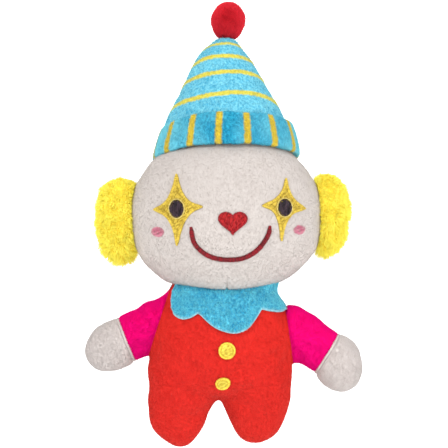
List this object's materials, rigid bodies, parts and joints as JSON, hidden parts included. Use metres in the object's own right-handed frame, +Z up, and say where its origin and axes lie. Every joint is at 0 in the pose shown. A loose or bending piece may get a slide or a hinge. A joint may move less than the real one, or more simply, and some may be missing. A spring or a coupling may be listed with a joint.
{
  "type": "hand puppet",
  "caption": "Plush clown hand puppet: stuffed head with a striped cone hat and shaggy hair, hollow body worn from the back, finger sleeves in head and arms, dangling legs.",
  "frame": {"origin": "middle of the hand opening in the back of the body", "axes": "+Z up from the feet to the hat, -Y out of the face, +X to the puppet's own left"},
  "size_m": [0.1856, 0.0956, 0.299],
  "materials": {
    "white_plush": "short-pile warm white plush",
    "striped_blue_plush": "short-pile light blue plush with yellow rings",
    "cuff_blue_plush": "short-pile deeper blue plush with yellow upright stripes",
    "collar_plush": "thin blue plush with a pale cut edge",
    "red_plush": "short-pile red plush",
    "magenta_plush": "short-pile magenta plush",
    "yellow_pile": "long shaggy yellow pile",
    "red_felt": "dense red pile ball",
    "gold_thread": "glossy satin-stitched gold thread",
    "dark_thread": "dark satin-stitched thread",
    "red_thread": "red satin-stitched thread",
    "crimson_thread": "dark crimson satin-stitched thread",
    "pink_thread": "pink satin-stitched thread",
    "yellow_thread": "yellow satin-stitched thread",
    "white_thread": "white piping cord",
    "lining": "thin woven polyester lining",
    "fibrefill": "loose polyester fibrefill"
  },
  "bodies": {
    "torso": {"body_front": "red_plush", "body_back": "red_plush", "body_base": "red_plush", "body_seat": "red_plush", "lining_front": "lining", "lining_back": "lining", "opening_hem": "red_plush", "collar": "collar_plush", "button_upper": "yellow_thread", "button_lower": "yellow_thread"},
    "neck_band": {"neck_band": "red_plush"},
    "neck_tube": {"neck_tube": "lining"},
    "head": {"head_front": "white_plush", "head_back": "white_plush", "head_stuffing": "fibrefill", "head_finger_pocket": "lining", "hat_cone": "striped_blue_plush", "hat_cuff": "cuff_blue_plush", "hat_stuffing": "fibrefill", "eye_star_left": "gold_thread", "eye_star_right": "gold_thread", "pupil_left": "dark_thread", "pupil_right": "dark_thread", "nose_heart": "red_thread", "mouth_smile": "crimson_thread", "cheek_left": "pink_thread", "cheek_right": "pink_thread"},
    "pompom": {"pompom": "red_felt"},
    "left_hair": {"hair_left": "yellow_pile"},
    "right_hair": {"hair_right": "yellow_pile"},
    "left_shoulder": {"shoulder_seam_left": "magenta_plush"},
    "right_shoulder": {"shoulder_seam_right": "magenta_plush"},
    "left_arm": {"sleeve_left": "magenta_plush", "wrist_piping_left": "white_thread", "hand_left": "white_plush", "hand_stuffing_left": "fibrefill", "finger_pocket_left": "lining"},
    "right_arm": {"sleeve_right": "magenta_plush", "wrist_piping_right": "white_thread", "hand_right": "white_plush", "hand_stuffing_right": "fibrefill", "finger_pocket_right": "lining"},
    "left_leg": {"leg_left": "red_plush", "leg_stuffing_left": "fibrefill"},
    "right_leg": {"leg_right": "red_plush", "leg_stuffing_right": "fibrefill"}
  },
  "joints": [
    {"name": "head_turn", "type": "hinge", "parent": "torso", "child": "neck_band", "pos_m": [0.003, -0.03, 0.048], "axis": [0, 0, 1], "range_deg": [-35, 35], "stiffness_Nm_per_rad": 0.4},
    {"name": "head_tilt", "type": "hinge", "parent": "neck_band", "child": "neck_tube", "pos_m": [0.003, -0.03, 0.048], "axis": [0, 1, 0], "range_deg": [-10, 10], "stiffness_Nm_per_rad": 1.5},
    {"name": "head_nod", "type": "hinge", "parent": "neck_tube", "child": "head", "pos_m": [0.003, -0.03, 0.048], "axis": [1, 0, 0], "range_deg": [-14, 17], "stiffness_Nm_per_rad": 1.5},
    {"name": "left_arm_swing", "type": "hinge", "parent": "torso", "child": "left_shoulder", "pos_m": [0.0485, -0.03, 0.0185], "axis": [0, 0, -1], "range_deg": [-15, 40], "stiffness_Nm_per_rad": 0.03},
    {"name": "left_arm_raise", "type": "hinge", "parent": "left_shoulder", "child": "left_arm", "pos_m": [0.0485, -0.03, 0.0185], "axis": [0, -1, 0], "range_deg": [-12, 50], "stiffness_Nm_per_rad": 0.05},
    {"name": "right_arm_swing", "type": "hinge", "parent": "torso", "child": "right_shoulder", "pos_m": [-0.0455, -0.03, 0.023], "axis": [0, 0, 1], "range_deg": [-15, 36], "stiffness_Nm_per_rad": 0.03},
    {"name": "right_arm_raise", "type": "hinge", "parent": "right_shoulder", "child": "right_arm", "pos_m": [-0.0455, -0.03, 0.023], "axis": [0, 1, 0], "range_deg": [-12, 50], "stiffness_Nm_per_rad": 0.05},
    {"name": "left_leg_swing", "type": "hinge", "parent": "torso", "child": "left_leg", "pos_m": [0.024, -0.03, -0.023], "axis": [-1, 0, 0], "range_deg": [-30, 55]},
    {"name": "right_leg_swing", "type": "hinge", "parent": "torso", "child": "right_leg", "pos_m": [-0.028, -0.03, -0.023], "axis": [-1, 0, 0], "range_deg": [-30, 55]},
    {"name": "pompom_wobble", "type": "hinge", "parent": "head", "child": "pompom", "pos_m": [0.004, -0.00514, 0.21751], "axis": [1, 0, 0], "range_deg": [-25, 25], "stiffness_Nm_per_rad": 0.01},
    {"name": "left_hair_flap", "type": "hinge", "parent": "head", "child": "left_hair", "pos_m": [0.067, -0.026, 0.0995], "axis": [0, 0, 1], "range_deg": [-12, 12], "stiffness_Nm_per_rad": 0.02},
    {"name": "right_hair_flap", "type": "hinge", "parent": "head", "child": "right_hair", "pos_m": [-0.0616, -0.026, 0.094], "axis": [0, 0, -1], "range_deg": [-12, 12], "stiffness_Nm_per_rad": 0.02}
  ]
}
